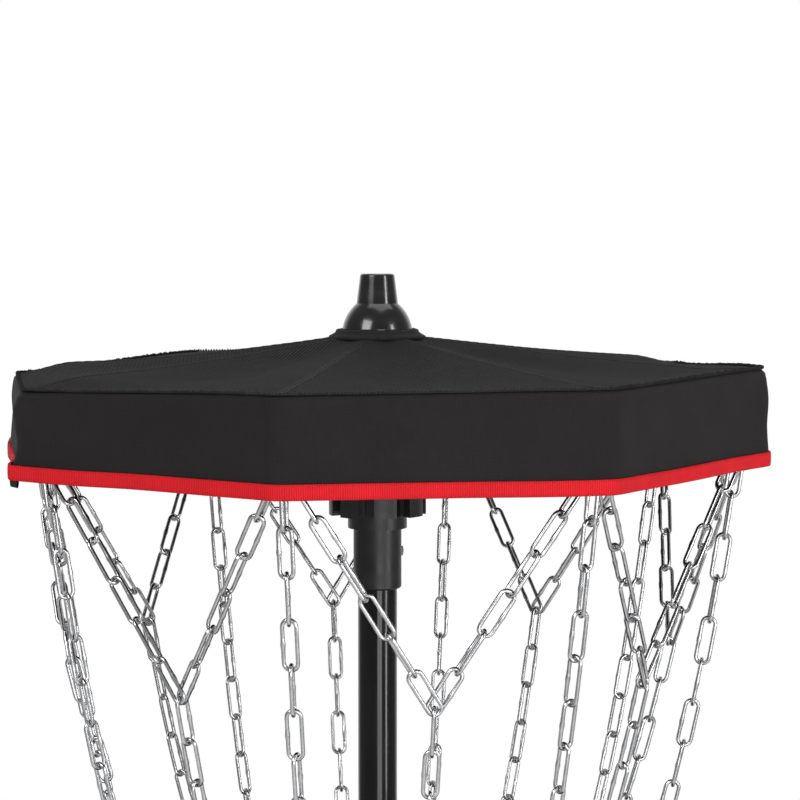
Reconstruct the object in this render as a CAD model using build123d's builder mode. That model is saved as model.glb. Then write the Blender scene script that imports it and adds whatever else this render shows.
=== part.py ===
"""Portable folding disc golf basket: an eight-ribbed umbrella canopy with hanging chains, over an
eight-ribbed fabric basket, on one two-section pole with a folding tripod.
Millimetres, +Z up, with the origin on the ground under the pole.
Rib 1 of the canopy and of the basket points along +X, and the others follow every 45 degrees."""

import os
from math import acos, asinh, atan2, cos, cosh, degrees, hypot, radians, sin, sinh, sqrt, tan

from build123d import *

os.makedirs("parts", exist_ok=True)

# ---------------------------------------------------------------- driving dimensions
RIBS = 8
STEP_DEG = 360 / RIBS
HALF_STEP = radians(STEP_DEG / 2)

POLE_R, POLE_WALL = 15.0, 1.5
LOWER_R, LOWER_WALL = 17.2, 2.0
POLE_TOP, LOWER_TOP, POLE_FOOT = 1446.0, 600.0, 40.0
POLE_OVERLAP = 120.0
SLIP = 0.1  # radial room of a hub that is fixed on a tube
GLIDE = 0.3  # radial room of a runner that slides on a tube

RIM_Z = 1407.0  # top edge of the canopy's band
RIM_R = 294.0  # corner radius of the canopy
BAND_DROP, BAND_FLARE = 67.0, 3.0
APEX_RISE = 24.5
APEX_R = 34.0
PATCH_R, PATCH_T = 36.5, 4.0
CLOTH = 2.0
BINDING_H, BINDING_T = 10.0, 0.8

RIB_TUBE_R, RIB_WALL = 5.0, 1.2
TONGUE_T, TONGUE_H = 4.8, 10.0
SLOT_W = 5.6
TRUNNION_HALF, TRUNNION_ROOM = 5.4, 0.4
EAR_GAP, EAR_T = 5.4, 2.0
PIN_R, PIN_ROOM = 1.6, 0.06
PIN_SEAT = 0.02  # radial room of a pin in the piece that holds it
PIN_LENGTH = 13.0
HUB_R = 37.0
PIVOT_R = 32.0  # radius of the rib pivots in their hubs
CANOPY_PIVOT_Z = 1420.0
HANG_R = 272.0  # radius of the hole that a hanger hangs in
STRUT_AT = 125.0  # distance along a canopy rib from its pivot to the strut's bracket
STRUT_DROP = 11.0  # the strut's pin below the rib's axis
STRUT_W = 9.0
RUNNER_PIVOT_R, RUNNER_PIVOT_Z = 30.0, 1314.0
CANOPY_FOLD_DEG = 70.0

WIRE_R = 1.5  # chain wire
LINK_PITCH = 32.0  # inside length of a link
LINK_WIDTH = 12.8  # outside width of a link
LINK_ROOM = 0.25
STRAND_LINKS, LEG_LINKS, TAIL_LINKS = 19, 6, 13
HANGER_WIRE_R, HANGER_R = 2.0, 12.0
HANGER_DROP = 50.0  # from the rib's hole to the bottom of the hanger
LEG_FAN_DEG = 31.0  # where a net leg sits round the hanger's lower bend
NET_R = 232.0  # radius at which two net legs meet
PAIR_HALF, PAIR_DROP = 1.7, 4.4  # the two legs' last links beside each other in the tail's first link
RING_R, RING_WIRE_R, RING_Z = 36.0, 2.2, 850.0

BASKET_PIVOT_Z = 648.0
BASKET_RIM_Z, BASKET_RIM_R = 820.0, 318.0
FLOOR_SLOPE = 0.12
FLOOR_R = 236.0
FLOOR_START_R = 34.0
RIB_STANDOFF = 7.5  # basket rib axis below the cloth's outer face
BASKET_FOLD_DEG = 50.0

KNOB_SCREW_R = 3.0
CANOPY_KNOB_Z, CANOPY_KNOB_R = RIM_Z - 143.0, 22.5
LEG_KNOB_R = 28.0

LEG_COUNT = 3
LEG_FIRST_DEG = 90.0
LEG_TUBE_R, LEG_WALL = 7.0, 1.5
LEG_PIN_R = 2.5
LEG_PIVOT_R, LEG_OPEN_DEG, LEG_FOLDED_DEG = 36.0, 45.0, 5.0
LEG_LENGTH, LEG_FOOT_Z = 360.0, 14.0
BRACE_AT, BRACE_DROP = 150.0, 12.5
BASE_PIVOT_R, BASE_PIVOT_Z = 30.0, 88.0
FOOT_PAD = (46.0, 30.0, 8.0)


def turned(part, deg):
    """The part turned about the pole."""
    return part.rotate(Axis.Z, deg)


def save(part, name):
    """Writes one named node."""
    part.label = name
    export_step(part, f"parts/{name}.step")


def group(parts):
    """Several separate solids as one node."""
    return Compound(children=[s for p in parts for s in p.solids()])


def side_plane(radius, height, down_deg=0.0):
    """A vertical radial plane at azimuth 0. Local x runs outwards, tipped down by down_deg, and y runs up."""
    a = radians(down_deg)
    return Plane(origin=(radius, 0, height), x_dir=(cos(a), 0, -sin(a)), z_dir=(0, -1, 0))


def ring_of(part, count=RIBS, first_deg=0.0):
    """The part repeated round the pole."""
    return [turned(part, first_deg + k * 360 / count) for k in range(count)]


# ---------------------------------------------------------------- pole
def tube(radius, wall, bottom, top):
    """Plain round tube on the pole's axis."""
    with BuildPart() as made:
        with BuildSketch(Plane.XY.offset(bottom)):
            Circle(radius)
            Circle(radius - wall, mode=Mode.SUBTRACT)
        extrude(amount=top - bottom)
    return made.part


def finial():
    """Screw cap: a bell under a tapered grip, with a blind socket for the pole's end."""
    base_z, waist_z, top_z = RIM_Z + 29.5, RIM_Z + 49.7, RIM_Z + 72.2
    base_r, waist_r, top_r = 26.5, 15.7, 12.9
    with BuildPart() as made:
        with BuildSketch(Plane.XZ):
            with BuildLine():
                Polyline((waist_r, waist_z), (top_r, top_z), (0, top_z), (0, base_z), (base_r, base_z))
                Line((base_r, base_z), (base_r, base_z + 1.5))
                ThreePointArc((base_r, base_z + 1.5), (22.3, base_z + 12.4), (waist_r, waist_z))
            make_face()
        revolve(axis=Axis.Z)
        fillet(made.faces().sort_by(Axis.Z)[-1].edges(), radius=2.0)
        with BuildSketch(Plane.XY.offset(base_z)):
            Circle(POLE_R + SLIP)
        extrude(amount=POLE_TOP - base_z + 1, mode=Mode.SUBTRACT)
    return made.part


# ---------------------------------------------------------------- notched hubs
def notched_hub(bore, bottom, top, slot_start, count=RIBS, first_deg=0.0):
    """A round hub with one open slot for each rib or brace."""
    reach = HUB_R + 5
    with BuildPart() as made:
        with BuildSketch(Plane.XY.offset(bottom)):
            Circle(HUB_R)
            Circle(bore, mode=Mode.SUBTRACT)
            with PolarLocations((slot_start + reach) / 2, count, start_angle=first_deg):
                Rectangle(reach - slot_start, SLOT_W, mode=Mode.SUBTRACT)
        extrude(amount=top - bottom)
    return made


def pin_holes(pivot_r, pivot_z):
    """Cuts the seats of the rib pins across every slot of the hub being built."""
    with PolarLocations(0, RIBS):
        with Locations(side_plane(pivot_r, pivot_z).location):
            Cylinder(PIN_R + PIN_SEAT, PIN_LENGTH + 0.2, mode=Mode.SUBTRACT)


def trunnion_seats(pivot_r, pivot_z, bottom, count, first_deg=0.0, inward=0.0):
    """Cuts the wide lower part of every slot, open downwards and outwards, where a strut's trunnion lies.
    inward is how far a trunnion wanders towards the pole while the linkage moves."""
    inner = pivot_r - PIN_R - TRUNNION_ROOM - inward
    top = pivot_z + PIN_R + TRUNNION_ROOM
    reach = HUB_R + 5
    width = 2 * (TRUNNION_HALF + TRUNNION_ROOM)
    with Locations((0, 0, (bottom + top) / 2)):
        with PolarLocations((inner + reach) / 2, count, start_angle=first_deg):
            Box(reach - inner, width, top - bottom, mode=Mode.SUBTRACT)


def hub_pins(pin_r, half_length, pivot_r, pivot_z, count=RIBS, first_deg=0.0):
    """The short pins that the ribs or legs turn on."""
    with BuildPart() as pin:
        with BuildSketch(side_plane(pivot_r, pivot_z)):
            Circle(pin_r)
        extrude(amount=half_length, both=True)
    return group(ring_of(pin.part, count, first_deg))


def top_hub():
    """Fixed hub under the finial that holds the canopy ribs."""
    with notched_hub(POLE_R + SLIP, 1408.5, 1427.0, 24.0) as made:
        pin_holes(PIVOT_R, CANOPY_PIVOT_Z)
    return made.part


def disc(radius, bottom, top, mode=Mode.ADD):
    """Adds or cuts a round disc or sleeve on the pole's axis in the piece being built."""
    with Locations((0, 0, bottom)):
        Cylinder(radius, top - bottom, align=(Align.CENTER, Align.CENTER, Align.MIN), mode=mode)


def knob_boss(height, inner_r, outer_r, toward=1):
    """Adds a threaded boss for a clamp knob to the hub being built, on its +Y or -Y side."""
    length = outer_r - inner_r
    middle = Plane(origin=(0, toward * (inner_r + outer_r) / 2, height), z_dir=(0, toward, 0))
    with Locations(middle.location):
        Cylinder(6.5, length)
        Cylinder(KNOB_SCREW_R + 0.1, length + 10, mode=Mode.SUBTRACT)


def canopy_runner():
    """Sliding hub: slots and trunnion seats for eight struts, a collar, a long sleeve and a clamp boss."""
    hub_low, hub_top = RIM_Z - 110.6, RIM_Z - 83.0
    collar_low, sleeve_low = RIM_Z - 121.0, RIM_Z - 167.3
    bore = POLE_R + GLIDE
    with notched_hub(bore, hub_low, hub_top, 24.0) as made:
        trunnion_seats(RUNNER_PIVOT_R, RUNNER_PIVOT_Z, hub_low, RIBS)
        disc(22.5, collar_low, hub_low)
        disc(18.3, sleeve_low, collar_low)
        chamfer(made.edges().filter_by(GeomType.CIRCLE).sort_by(Axis.Z)[0], 1.2)
        knob_boss(CANOPY_KNOB_Z, POLE_R, CANOPY_KNOB_R)
        disc(bore, sleeve_low - 1, hub_top + 1, Mode.SUBTRACT)
    return made.part


def basket_hub():
    """Fixed hub that holds the basket ribs. Its sloping flange stops them when the basket is open."""
    flange_r, flange_t, neck_h = 56.0, 5.0, 15.0
    bore = POLE_R + SLIP

    def seat(radius):
        return BASKET_PIVOT_Z + FLOOR_SLOPE * (radius - PIVOT_R) - TONGUE_H / 2 - 0.45

    with BuildPart() as flange:
        with BuildSketch(Plane.XZ):
            Polygon(
                (bore, seat(PIVOT_R) - neck_h),
                (22, seat(PIVOT_R) - neck_h),
                (26, seat(PIVOT_R) - flange_t),
                (flange_r, seat(flange_r) - flange_t),
                (flange_r, seat(flange_r)),
                (bore, seat(bore)),
                align=None,
            )
        revolve(axis=Axis.Z)
    with notched_hub(bore, seat(bore) - 1, BASKET_PIVOT_Z + 6.4, 24.0) as made:
        add(flange.part)
        pin_holes(PIVOT_R, BASKET_PIVOT_Z)
    return made.part


def knob(height, inner_r, outer_r, toward=1):
    """Clamp knob: its screw runs through the sleeve's boss and presses on the tube."""
    knob_r, knob_t, grip_r = 13.0, 12.0, 3.4
    face = Plane(origin=(0, toward * inner_r, height), z_dir=(0, toward, 0))
    with BuildPart() as made:
        with BuildSketch(face):
            Circle(KNOB_SCREW_R)
        extrude(amount=outer_r - inner_r)
        with BuildSketch(face.offset(outer_r - inner_r)):
            Circle(knob_r)
            with PolarLocations(knob_r + 1.0, 6):
                Circle(grip_r, mode=Mode.SUBTRACT)
        extrude(amount=knob_t)
        fillet(made.faces().sort_by(Axis.Y)[-1 if toward > 0 else 0].edges(), radius=1.5)
    return made.part


# ---------------------------------------------------------------- canopy linkage
RIB_DOWN = degrees(atan2(APEX_RISE, RIM_R - APEX_R))
OPEN, FOLDED = radians(RIB_DOWN), radians(RIB_DOWN + CANOPY_FOLD_DEG)
HANG_AT = (HANG_R - PIVOT_R) / cos(OPEN)
HANG_Z = CANOPY_PIVOT_Z - HANG_AT * sin(OPEN)


def bracket_point(angle):
    """Radius and height of a rib's strut pin when the rib points down by angle."""
    along, across = STRUT_AT, STRUT_DROP
    return (
        PIVOT_R + along * cos(angle) - across * sin(angle),
        CANOPY_PIVOT_Z - along * sin(angle) - across * cos(angle),
    )


STRUT_TOP = bracket_point(OPEN)
STRUT_LENGTH = hypot(STRUT_TOP[0] - RUNNER_PIVOT_R, STRUT_TOP[1] - RUNNER_PIVOT_Z)
STRUT_RISE = degrees(atan2(STRUT_TOP[1] - RUNNER_PIVOT_Z, STRUT_TOP[0] - RUNNER_PIVOT_R))
FOLDED_TOP = bracket_point(FOLDED)
STRUT_FOLDED_RISE = degrees(acos((FOLDED_TOP[0] - RUNNER_PIVOT_R) / STRUT_LENGTH))
RUNNER_TRAVEL = RUNNER_PIVOT_Z - (FOLDED_TOP[1] - STRUT_LENGTH * sin(radians(STRUT_FOLDED_RISE)))
STRUT_TURN = STRUT_FOLDED_RISE - STRUT_RISE + CANOPY_FOLD_DEG
STRUT_PLANE = side_plane(RUNNER_PIVOT_R, RUNNER_PIVOT_Z, -STRUT_RISE)


def bracket_tube(plane, radius, wall, ends, eyes, ear_at, ear_drop):
    """A steel tube along local x with flattened eyes beyond it and a riveted two-ear bracket under it.
    ends are where the tube starts and stops, and eyes are (centre, hole radius) of the flattened ends."""
    ear_r = 4.6
    start, stop = ends
    with BuildPart() as made:
        with BuildSketch(Plane(origin=plane.from_local_coords((start, 0, 0)), z_dir=plane.x_dir)):
            Circle(radius)
            Circle(radius - wall, mode=Mode.SUBTRACT)
        extrude(amount=stop - start)
        with BuildSketch(plane):
            for centre, _ in eyes:
                inside = start + 6 if centre < start else stop - 6
                with Locations(((centre + inside) / 2, 0)):
                    SlotCenterToCenter(abs(inside - centre), 2 * radius + 0.6)
        extrude(amount=TONGUE_T / 2, both=True)
        with BuildSketch(plane):
            with Locations((ear_at, -ear_drop / 2)):
                SlotCenterToCenter(ear_drop, 2 * ear_r, rotation=90)
        extrude(amount=EAR_GAP / 2 + EAR_T, both=True)
        with BuildSketch(plane):
            with Locations((ear_at, -radius - ear_drop)):
                Rectangle(4 * ear_r, 2 * ear_drop - 1)
        extrude(amount=EAR_GAP / 2, both=True, mode=Mode.SUBTRACT)
        with BuildSketch(plane):
            for centre, hole_r in eyes:
                with Locations((centre, 0)):
                    Circle(hole_r)
            with Locations((ear_at, -ear_drop)):
                Circle(PIN_R + PIN_SEAT)
        extrude(amount=20, both=True, mode=Mode.SUBTRACT)
    with BuildPart() as rivet:
        with BuildSketch(plane):
            with Locations((ear_at, -ear_drop)):
                Circle(PIN_R)
        extrude(amount=EAR_GAP / 2 + EAR_T + 1.2, both=True)
        for side in (-1, 1):
            with BuildSketch(plane.offset(side * (EAR_GAP / 2 + EAR_T + 0.1))):
                with Locations((ear_at, -ear_drop)):
                    Circle(2.8)
            extrude(amount=side * 1.1)
    return group([made.part, rivet.part])


def canopy_rib():
    """Canopy rib: an eye in the hub, a strut bracket, and a flattened tip with the hanger's hole."""
    plane = side_plane(PIVOT_R, CANOPY_PIVOT_Z, RIB_DOWN)
    eyes = [(0.0, PIN_R + PIN_ROOM), (HANG_AT, HANGER_WIRE_R + 0.9)]
    return bracket_tube(plane, RIB_TUBE_R, RIB_WALL, (15.0, HANG_AT - 12.0), eyes, STRUT_AT, STRUT_DROP)


def flat_link(plane, length):
    """Flat steel bar along local x: a trunnion at its start for a hub's seat, and an eye at its end."""
    with BuildPart() as made:
        with BuildSketch(plane):
            with Locations((length / 2, 0)):
                SlotCenterToCenter(length, STRUT_W)
            with Locations((length, 0)):
                Circle(PIN_R + PIN_ROOM, mode=Mode.SUBTRACT)
        extrude(amount=TONGUE_T / 2, both=True)
        with BuildSketch(plane):
            Circle(PIN_R)
        extrude(amount=TRUNNION_HALF, both=True)
    return made.part


# ---------------------------------------------------------------- cloth panels
def gore(band):
    """One flat cloth panel between two neighbouring ribs, mitred at both. band is its section at a rib."""

    def at(point, azimuth):
        return Vector(point[0] * cos(azimuth), point[0] * sin(azimuth), point[1])

    near = [at(p, 0.0) for p in band]
    far = [at(p, 2 * HALF_STEP) for p in band]
    quads = [near, far[::-1]] + [[near[i], far[i], far[(i + 1) % 4], near[(i + 1) % 4]] for i in range(4)]
    return Solid(Shell([Face(Wire.make_polygon(q, close=True)) for q in quads]))


def canopy_cloth():
    """Eight top gores, eight band panels and the round patch under the finial."""
    top_in, rim_in = CLOTH, CLOTH / cos(HALF_STEP)
    apex_z = RIM_Z + APEX_RISE
    top = [(RIM_R, RIM_Z), (APEX_R, apex_z), (APEX_R, apex_z - top_in), (RIM_R, RIM_Z - top_in)]
    low = RIM_Z - BAND_DROP + BINDING_H
    low_r = RIM_R + BAND_FLARE
    high = RIM_Z - top_in
    band = [(RIM_R, high), (RIM_R - rim_in, high), (low_r - rim_in, low), (low_r, low)]
    with BuildPart() as patch:
        disc(PATCH_R, apex_z, apex_z + PATCH_T)
        disc(POLE_R + 2, apex_z, apex_z + PATCH_T, Mode.SUBTRACT)
    panels = [gore(top), gore(band)]
    return group([p for panel in panels for p in ring_of(panel)] + [patch.part])


def canopy_binding():
    """Webbing folded over the band's lower edge, as eight flat lengths."""
    low = RIM_Z - BAND_DROP
    face_r = RIM_R + BAND_FLARE + 0.2
    out_r, in_r = face_r + BINDING_T, face_r - (CLOTH + BINDING_T) / cos(HALF_STEP)
    top = low + BINDING_H
    return group(ring_of(gore([(out_r, low), (in_r, low), (in_r, top), (out_r, top)])))


# ---------------------------------------------------------------- chains
LINK_HALF = LINK_PITCH / 2
LINK_STEP = LINK_PITCH - LINK_ROOM


def link():
    """One long chain link at the origin: long way along X, flat in XY."""
    bend_r = LINK_WIDTH / 2 - WIRE_R
    reach = LINK_HALF + WIRE_R - bend_r
    with BuildPart() as made:
        with BuildLine() as path:
            a = Line((-reach, bend_r), (reach, bend_r))
            b = ThreePointArc(a @ 1, (reach + bend_r, 0), (reach, -bend_r))
            c = Line(b @ 1, (-reach, -bend_r))
            ThreePointArc(c @ 1, (-reach - bend_r, 0), a @ 0)
        with BuildSketch(Plane(origin=(-reach, bend_r, 0), z_dir=(1, 0, 0))):
            Circle(WIRE_R)
        sweep(path=path.wire())
    return made.part


LINK = link()


def radial(angle_deg):
    """Unit vector away from the pole."""
    return Vector(1, 0, 0).rotate(Axis.Z, angle_deg)


def placed_link(centre, along, width):
    """A link with its long axis along one direction and its flat side holding the other."""
    along = Vector(along).normalized()
    normal = along.cross(Vector(width)).normalized()
    return LINK.moved(Plane(origin=centre, x_dir=along, z_dir=normal).location)


def straight_chain(start, end, count, first_gap, last_gap, twist_deg):
    """Links in a line from start to end.
    Even links stand in a radial plane, which turns by twist_deg on the way."""
    along = (end - start).normalized()
    pitch = ((end - start).length - first_gap - last_gap) / (count - 1)
    made = []
    for i in range(count):
        out = radial(twist_deg * i / (count - 1))
        width = along.cross(out) if i % 2 else out
        made.append(placed_link(start + along * (first_gap + i * pitch), along, width))
    return made


class Catenary:
    """A hanging curve in the (radius, height) plane, from a high outer point down to a low inner one."""

    def __init__(self, outer, inner, length):
        span, drop = outer[0] - inner[0], outer[1] - inner[1]
        want = sqrt(length**2 - drop**2) / span
        low, high = 1e-3, 20.0
        for _ in range(80):
            x = (low + high) / 2
            low, high = (x, high) if sinh(x) / x < want else (low, x)
        self.c = span / (2 * x)
        self.inner, self.length = inner, length
        lean = asinh(drop / (2 * self.c * sinh(x)))
        self.x0 = inner[0] + span / 2 - self.c * lean
        self.k = inner[1] - self.c * cosh((inner[0] - self.x0) / self.c)

    def at(self, from_outer):
        """Radius and height at a length measured from the outer end."""
        s = self.length - from_outer
        u = asinh(s / self.c + sinh((self.inner[0] - self.x0) / self.c))
        return self.x0 + self.c * u, self.c * cosh(u) + self.k


def hanging_chain(outer, inner, count, first_gap, last_gap):
    """Links along a catenary at azimuth 0, each on the chord between its two joints.
    Even links stand radially."""
    curve = Catenary(outer, inner, first_gap + (count - 1) * LINK_STEP + last_gap)
    joints = [0.0, *(first_gap + (i + 0.5) * LINK_STEP for i in range(count - 1)), curve.length]
    made = []
    for i in range(count):
        start, end = (Vector(r, 0, z) for r, z in (curve.at(joints[i]), curve.at(joints[i + 1])))
        along = (end - start).normalized()
        centre = start + along * (first_gap if i == 0 else LINK_STEP / 2)
        if i == count - 1:
            centre = end - along * last_gap
        across = Vector(0, 1, 0)
        made.append(placed_link(centre, along, across if i % 2 else along.cross(across)))
    return made


HANGER_LOW_Z = HANG_Z - HANGER_DROP
HANG_GAP = LINK_HALF - HANGER_WIRE_R - LINK_ROOM
RING_GAP = LINK_HALF - RING_WIRE_R - LINK_ROOM


def hanger():
    """Closed wire loop that hangs from a rib's tip and carries three chains."""
    top_z, low_z = HANG_Z - HANGER_R, HANGER_LOW_Z + HANGER_R
    with BuildPart() as made:
        with BuildLine() as path:
            a = Line((HANG_R, HANGER_R, top_z), (HANG_R, HANGER_R, low_z))
            b = ThreePointArc(a @ 1, (HANG_R, 0, HANGER_LOW_Z), (HANG_R, -HANGER_R, low_z))
            c = Line(b @ 1, (HANG_R, -HANGER_R, top_z))
            ThreePointArc(c @ 1, (HANG_R, 0, HANG_Z), a @ 0)
        with BuildSketch(Plane(origin=a @ 0, z_dir=(0, 0, -1))):
            Circle(HANGER_WIRE_R)
        sweep(path=path.wire())
    return made.part


def chain_strand():
    """A rib's hanger and the long chain from it to the collector ring."""
    links = hanging_chain((HANG_R, HANGER_LOW_Z), (RING_R, RING_Z), STRAND_LINKS, HANG_GAP, RING_GAP)
    return group([hanger(), *links])


def net_leg_start(side):
    """The point on the hanger's lower bend that carries a net leg, at azimuth 0."""
    fan = radians(LEG_FAN_DEG)
    return Vector(HANG_R, side * HANGER_R * sin(fan), HANGER_LOW_Z + HANGER_R * (1 - cos(fan)))


NET_GAP = LINK_HALF + WIRE_R - PAIR_DROP


def net_point():
    """Height at which two net legs meet, from the length of a leg."""
    start = net_leg_start(1)
    length = HANG_GAP + (LEG_LINKS - 1) * LINK_STEP + NET_GAP
    flat = hypot(NET_R * cos(HALF_STEP) - start.X, NET_R * sin(HALF_STEP) - start.Y)
    return start.Z - sqrt(length**2 - flat**2)


def chain_net():
    """Between each two ribs, two short legs that meet and one long tail down to the collector ring."""
    z = net_point()
    legs = []
    for side in (1, -1):
        reach = NET_R + side * PAIR_HALF
        end = Vector(reach * cos(HALF_STEP), side * reach * sin(HALF_STEP), z)
        twist = side * STEP_DEG / 2
        legs += straight_chain(net_leg_start(side), end, LEG_LINKS, HANG_GAP, NET_GAP, twist)
    tail = hanging_chain((NET_R, z), (RING_R, RING_Z), TAIL_LINKS, LINK_HALF + WIRE_R, RING_GAP)
    return group(ring_of(group(legs)) + ring_of(group(tail), first_deg=STEP_DEG / 2))


def chain_ring():
    """Collector ring on four spokes from a collar that is fixed on the pole."""
    collar_h, spokes, first_spoke_deg = 18.0, 4, 11.25
    with BuildPart() as made:
        disc(POLE_R + 6, RING_Z - collar_h / 2, RING_Z + collar_h / 2)
        with BuildSketch(Plane.XZ):
            with Locations((RING_R, RING_Z)):
                Circle(RING_WIRE_R)
        revolve(axis=Axis.Z)
        for k in range(spokes):
            z_dir = radial(first_spoke_deg + k * 360 / spokes)
            with BuildSketch(Plane(origin=(0, 0, RING_Z), z_dir=z_dir)):
                Circle(RING_WIRE_R)
            extrude(amount=RING_R)
        disc(POLE_R + SLIP, RING_Z - collar_h, RING_Z + collar_h, Mode.SUBTRACT)
    return made.part


# ---------------------------------------------------------------- basket
FLOOR_DEG = degrees(atan2(FLOOR_SLOPE, 1.0))
FLOOR_Z = BASKET_PIVOT_Z + RIB_STANDOFF + CLOTH + FLOOR_SLOPE * (FLOOR_START_R - PIVOT_R) + 0.6
FLOOR_EDGE_Z = FLOOR_Z + FLOOR_SLOPE * (FLOOR_R - FLOOR_START_R)
WALL_DEG = degrees(atan2(BASKET_RIM_Z - FLOOR_EDGE_Z, BASKET_RIM_R - FLOOR_R))


def basket_rib():
    """Bent steel tube under the basket, with a flattened eye in the hub and a capped tip at the rim."""
    plane = side_plane(PIVOT_R, BASKET_PIVOT_Z, -FLOOR_DEG)
    off = CLOTH + RIB_STANDOFF
    wall = radians(WALL_DEG)
    rim = (BASKET_RIM_R + off * sin(wall), BASKET_RIM_Z - off * cos(wall))
    # where the line up the wall meets the line under the floor
    fall = tan(wall) * (rim[0] - PIVOT_R) - (rim[1] - BASKET_PIVOT_Z)
    bend_r = PIVOT_R + fall / (tan(wall) - FLOOR_SLOPE)
    bend = (bend_r, BASKET_PIVOT_Z + FLOOR_SLOPE * (bend_r - PIVOT_R))
    start = plane.from_local_coords((15, 0, 0))
    stop_short = 6.0
    tip = (rim[0] - stop_short * cos(wall), rim[1] - stop_short * sin(wall))
    with BuildPart() as made:
        with BuildLine() as path:
            FilletPolyline(start, (bend[0], 0, bend[1]), (tip[0], 0, tip[1]), radius=20)
        with BuildSketch(Plane(origin=start, z_dir=plane.x_dir)):
            Circle(RIB_TUBE_R)
        sweep(path=path.wire())
        with BuildSketch(Plane(origin=(tip[0], 0, tip[1]), z_dir=(cos(wall), 0, sin(wall)))):
            Circle(RIB_TUBE_R + 1)
        extrude(amount=-14)
        fillet(made.faces().sort_by(Axis.Z)[-1].edges(), radius=1.6)
        with BuildSketch(plane):
            with Locations((9.5, 0)):
                SlotCenterToCenter(19, TONGUE_H)
        extrude(amount=TONGUE_T / 2, both=True)
        with BuildSketch(plane):
            Circle(PIN_R + PIN_ROOM)
        extrude(amount=20, both=True, mode=Mode.SUBTRACT)
    return made.part


def basket_cloth():
    """Eight floor gores and eight wall panels of the catching basket, open at the top."""
    wall = radians(WALL_DEG)
    out_r, out_z = CLOTH * sin(wall) / cos(HALF_STEP), -CLOTH * cos(wall)
    floor = [
        (FLOOR_START_R, FLOOR_Z),
        (FLOOR_START_R, FLOOR_Z - CLOTH),
        (FLOOR_R, FLOOR_EDGE_Z - CLOTH),
        (FLOOR_R, FLOOR_EDGE_Z),
    ]
    top_r = BASKET_RIM_R - BINDING_H * cos(wall)
    top_z = BASKET_RIM_Z - BINDING_H * sin(wall)
    side = [
        (FLOOR_R, FLOOR_EDGE_Z),
        (FLOOR_R + out_r, FLOOR_EDGE_Z + out_z),
        (top_r + out_r, top_z + out_z),
        (top_r, top_z),
    ]
    return group([p for panel in (gore(floor), gore(side)) for p in ring_of(panel)])


def basket_binding():
    """Webbing folded over the basket's rim, as eight flat lengths."""
    wall = radians(WALL_DEG)
    run, rise = BINDING_H * cos(wall), BINDING_H * sin(wall)
    t_in, t_out = BINDING_T, CLOTH + BINDING_T

    def off(point, amount):
        return point[0] + amount * sin(wall), point[1] - amount * cos(wall)

    top, low = (BASKET_RIM_R, BASKET_RIM_Z), (BASKET_RIM_R - run + 0.05, BASKET_RIM_Z - rise + 0.08)
    return group(ring_of(gore([off(low, -t_in), off(low, t_out), off(top, t_out), off(top, -t_in)])))


# ---------------------------------------------------------------- tripod
LEG_OPEN, LEG_FOLDED = radians(LEG_OPEN_DEG), radians(LEG_FOLDED_DEG)
LEG_TOP_Z = LEG_FOOT_Z + LEG_LENGTH * cos(LEG_OPEN)
LEG_FOLD_DEG = LEG_OPEN_DEG - LEG_FOLDED_DEG


def brace_point(angle, top_z):
    """Radius and height of a leg's brace pin when the leg leans out by angle from straight down."""
    return (
        LEG_PIVOT_R + BRACE_AT * sin(angle) - BRACE_DROP * cos(angle),
        top_z - BRACE_AT * cos(angle) - BRACE_DROP * sin(angle),
    )


BRACE_TOP = brace_point(LEG_OPEN, LEG_TOP_Z)
BRACE_LENGTH = hypot(BRACE_TOP[0] - BASE_PIVOT_R, BRACE_TOP[1] - BASE_PIVOT_Z)
BRACE_RISE = degrees(atan2(BRACE_TOP[1] - BASE_PIVOT_Z, BRACE_TOP[0] - BASE_PIVOT_R))
BRACE_FOLDED_RISE = degrees(acos((brace_point(LEG_FOLDED, 0)[0] - BASE_PIVOT_R) / BRACE_LENGTH))
LEG_RUNNER_TRAVEL = (
    BASE_PIVOT_Z + BRACE_LENGTH * sin(radians(BRACE_FOLDED_RISE)) - brace_point(LEG_FOLDED, 0)[1] - LEG_TOP_Z
)
BRACE_TURN = BRACE_FOLDED_RISE - BRACE_RISE + LEG_FOLD_DEG
BRACE_PLANE = side_plane(BASE_PIVOT_R, BASE_PIVOT_Z, -BRACE_RISE)


def leg_runner():
    """Sliding collar on the lower pole: three pairs of lugs for the legs, and a clamp boss."""
    core_r, lug_t, lug_r, reach = 25.0, 4.0, 8.0, 14.0
    bore = LOWER_R + GLIDE
    with BuildPart() as made:
        disc(core_r, LEG_TOP_Z - 20, LEG_TOP_Z + 22)
        fillet(made.edges().filter_by(GeomType.CIRCLE), radius=1.2)
        with PolarLocations(0, LEG_COUNT, start_angle=LEG_FIRST_DEG):
            with Locations(side_plane(LEG_PIVOT_R - reach / 2, LEG_TOP_Z).location):
                with Locations((0, 0, (SLOT_W + lug_t) / 2), (0, 0, -(SLOT_W + lug_t) / 2)):
                    Box(reach, 2 * lug_r, lug_t)
            with Locations(side_plane(LEG_PIVOT_R, LEG_TOP_Z).location):
                with Locations((0, 0, (SLOT_W + lug_t) / 2), (0, 0, -(SLOT_W + lug_t) / 2)):
                    Cylinder(lug_r, lug_t)
                Cylinder(LEG_PIN_R + PIN_SEAT, 30, mode=Mode.SUBTRACT)
        knob_boss(LEG_TOP_Z, LOWER_R, LEG_KNOB_R, toward=-1)
        disc(bore, LEG_TOP_Z - 30, LEG_TOP_Z + 30, Mode.SUBTRACT)
    return made.part


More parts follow.
